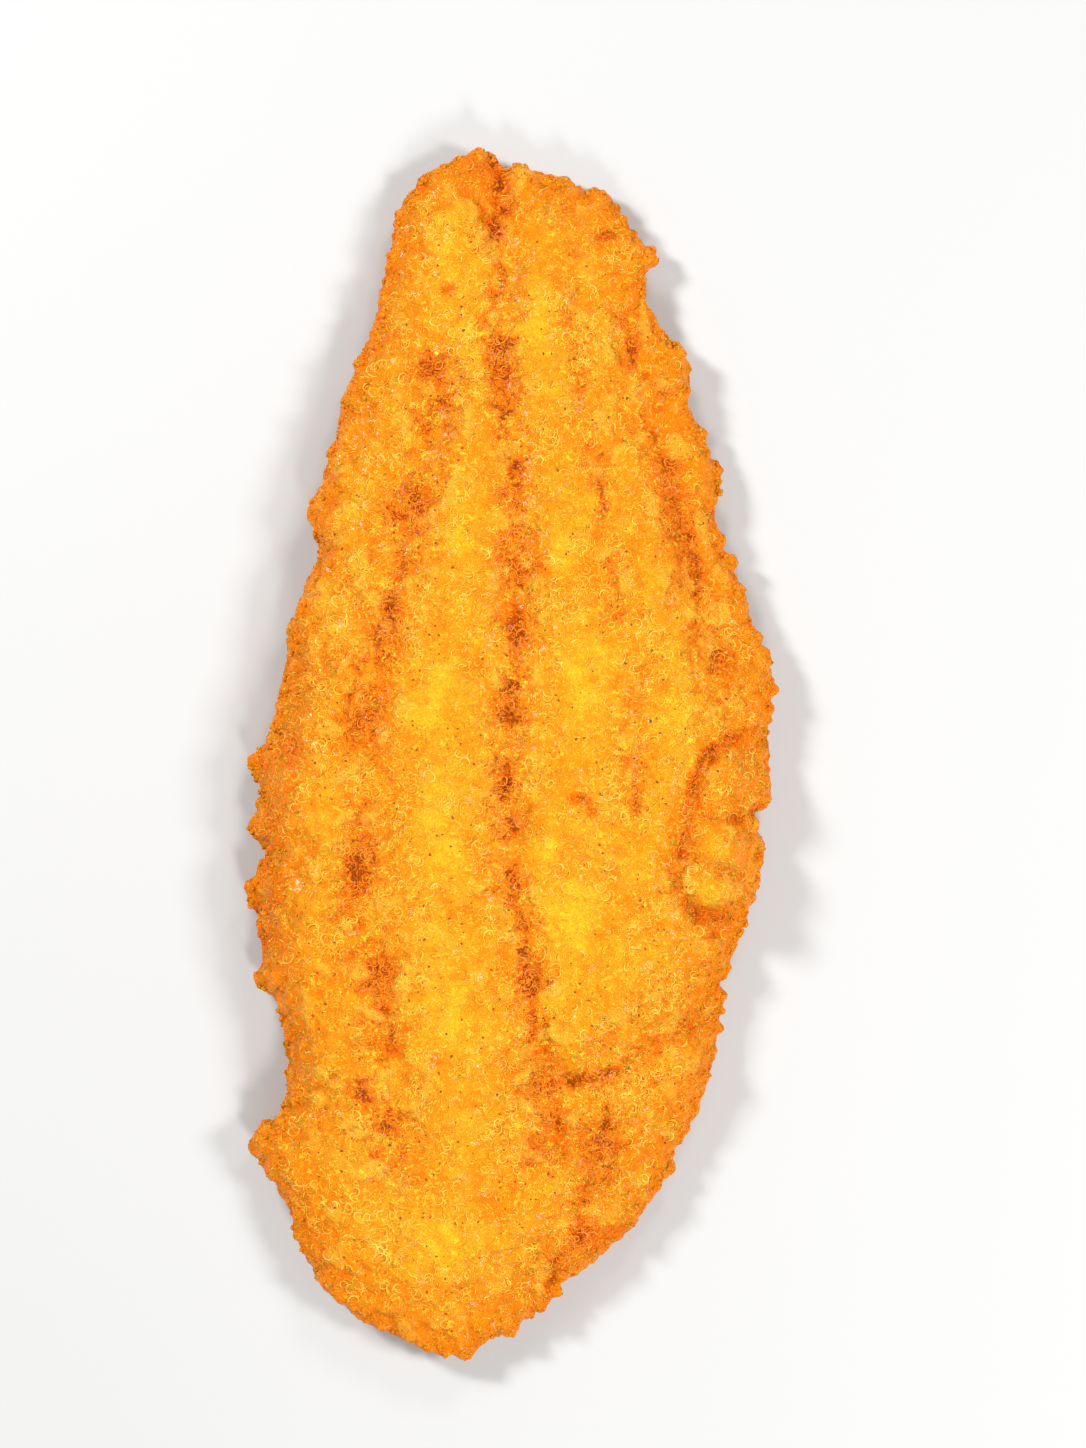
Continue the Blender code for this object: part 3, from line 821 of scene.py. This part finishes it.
def draped(mesh, surface):
    # lay a flat mesh on the surface, so that its own heights are measured from there
    points = verticesOf(mesh)
    for point in points:
        hit = seatOn(surface, point[0], point[1])[0]
        if not hit:  # just past the edge, so the nearest place on it gives the height
            hit = surface.find_nearest(Vector((point[0], point[1], halfHeight)))[0]
        point[2] += hit.z
    mesh.vertices.foreach_set("co", points.ravel())
    mesh.update()


def buildThreads(surface, edgeTree):
    dice = random.Random(threadOptions["seed"])
    tries = np.array([(dice.uniform(-1, 1) * halfWidth, dice.uniform(-1, 1) * halfLength, halfHeight)
                      for _ in range(threadOptions["count"] * 4)])
    chance = 0.30 + 0.9 * noiseAt(tries, 9, 40) + 0.9 * bandAt(tries)
    placements = []
    for (x, y, _), likely in zip(tries.tolist(), chance.tolist()):
        if len(placements) == threadOptions["count"]:
            break
        hit, normal = seatOn(surface, x, y)
        curl = dice.uniform(*threadOptions["curl"]) * millimetre
        inset = insetOf(x, y, edgeTree)
        if not hit or normal.z < 0.6 or inset < curl * 2.4 or dice.random() > likely:
            continue
        stretch = Matrix.Diagonal((curl, curl * dice.uniform(0.6, 1.5), curl * 1.1, 1.0))
        turn = Matrix.Rotation(dice.uniform(0, 2 * math.pi), 4, "Z")
        placements.append(Matrix.Translation((x, y, curl * 0.05)) @ turn @ stretch)
    print("threads", len(placements))
    arcs = threadOptions["arcs"]
    whole = bmesh.new()
    for k, arc in enumerate(arcs):
        part = joinedCopies("batterThreads", threadShape(*arc), placements[k::len(arcs)])
        whole.from_mesh(part)
        bpy.data.meshes.remove(part)
    mesh = meshFrom(whole, "batterThreads")
    draped(mesh, surface)
    mesh.shade_smooth()
    points = verticesOf(mesh)
    layer = mesh.attributes.new("browning", "FLOAT", "POINT")
    layer.data.foreach_set("value", (bandAt(points) + spotsAt(points, brownSpots)).astype(np.float32))
    return newObject("batterThreads", mesh)


def threadFinish():
    finish = Finish("crispThreads")
    shade = finish.noise(3.0, 2.0).between(0.3, 0.7)
    browning = finish.attribute("browning").between(0.0, 0.7) * 0.85
    colour = finish.mix(shade, threadOptions["golden"], threadOptions["pale"])
    colour = finish.mix(browning, colour, threadOptions["browned"])
    finish.set(Base_Color=colour)
    finish.set(Roughness=0.16 + shade * 0.1, IOR=batterIor, Specular_IOR_Level=0.28)
    finish.set(Subsurface_Weight=0.1, Subsurface_Radius=batterGlow, Subsurface_Scale=0.0008)
    return finish.material


# small crisp bubbles along the edge, radius in millimetres
bubbleOptions = dict(count=1300, radius=(0.28, 0.75), seed=19)


def buildBubbles(surface, edgeTree):
    dice = random.Random(bubbleOptions["seed"])
    low, high = bubbleOptions["radius"]
    placements = []
    while len(placements) < bubbleOptions["count"]:
        x = dice.uniform(-1.02, 1.02) * halfWidth
        y = dice.uniform(-1.01, 1.01) * halfLength
        hit, normal = seatOn(surface, x, y)
        if not hit:
            continue
        inset = insetOf(x, y, edgeTree)
        if dice.random() > math.exp(-inset / 0.0016):
            continue
        radius = (low + (high - low) * dice.random() ** 1.7) * millimetre
        centre = hit - normal * radius * dice.uniform(0.1, 0.5)
        centre.z = max(centre.z, radius)
        placements.append(Matrix.Translation(centre) @ Matrix.Scale(radius, 4))
    ball = bmesh.new()
    bmesh.ops.create_uvsphere(ball, u_segments=8, v_segments=5, radius=1.0)
    bubbles = newObject("crispBubbles", joinedCopies("crispBubbles", ball, placements))
    bubbles.data.shade_smooth()
    for name, value in dict(crest=0.2, edge=1.0, lift=0.0).items():
        layer = bubbles.data.attributes.new(name, "FLOAT", "POINT")
        layer.data.foreach_set("value", np.full(len(bubbles.data.vertices), value, np.float32))
    return bubbles


stageOptions = dict(
    floorSize=8.0,
    floorColour=(0.54, 0.54, 0.535, 1),
    worldStrength=0.27,
)

# Softboxes: where each stands, its size and its power. All point at the fillet.
softboxes = [
    dict(name="keyBox", at=(-0.60, 0.42, 0.60), size=0.17, power=8.5),
    dict(name="fillBox", at=(0.68, -0.06, 0.58), size=0.20, power=5.6),
    dict(name="frontBox", at=(0.20, -0.70, 0.54), size=0.18, power=4.3),
    dict(name="backBox", at=(0.30, 0.78, 0.54), size=0.18, power=2.4),
]


def buildFloor():
    shape = bmesh.new()
    bmesh.ops.create_grid(shape, x_segments=1, y_segments=1, size=stageOptions["floorSize"] / 2)
    floor = newObject("floor", meshFrom(shape, "floor"))
    finish = Finish("paleFloor")
    finish.set(Base_Color=stageOptions["floorColour"], Roughness=0.85, Specular_IOR_Level=0.15)
    floor.data.materials.append(finish.material)


def buildLights():
    world = bpy.data.worlds.new("studio")
    bpy.context.scene.world = world
    world.use_nodes = True
    background = world.node_tree.nodes["Background"]
    background.inputs["Color"].default_value = (1, 1, 1, 1)
    background.inputs["Strength"].default_value = stageOptions["worldStrength"]
    for box in softboxes:
        light = bpy.data.lights.new(box["name"], "AREA")
        light.shape = "SQUARE"
        light.size = box["size"]
        light.energy = box["power"]
        lamp = newObject(box["name"], light)
        lamp.location = box["at"]
        lamp.rotation_euler = (-Vector(box["at"])).to_track_quat("-Z", "Y").to_euler()


cameraOptions = dict(
    lens=90.0,
    frameHeight=0.3060,  # what the picture's long side takes in at the fillet
    aim=(0.0069, 0.0063),
    aimHeight=0.006,
)


def buildCamera():
    camera = bpy.data.cameras.new("camera")
    camera.lens = cameraOptions["lens"]
    camera.sensor_width = 36.0
    distance = cameraOptions["frameHeight"] * camera.lens / camera.sensor_width
    camera.clip_start = 0.01
    camera.clip_end = 50.0
    stand = newObject("camera", camera)
    stand.location = (*cameraOptions["aim"], cameraOptions["aimHeight"] + distance)
    bpy.context.scene.camera = stand


def finishPiece(piece, material):
    piece.data.materials.clear()
    piece.data.materials.append(material)
    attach(piece, "root")
    print(piece.name, "done")


bpy.context.scene.view_settings.view_transform = "Standard"
buildCamera()
buildFloor()
buildLights()
crust, edgeTree = buildCrust()
batter = crustFinish()
finishPiece(crust, batter)
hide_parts("fillet")
crustSurface = BVHTree.FromPolygons([v.co for v in crust.data.vertices],
                                    [tuple(p.vertices) for p in crust.data.polygons])
finishPiece(buildThreads(crustSurface, edgeTree), threadFinish())
finishPiece(buildPepper(crustSurface, edgeTree), pepperFinish())
finishPiece(buildBubbles(crustSurface, edgeTree), batter)
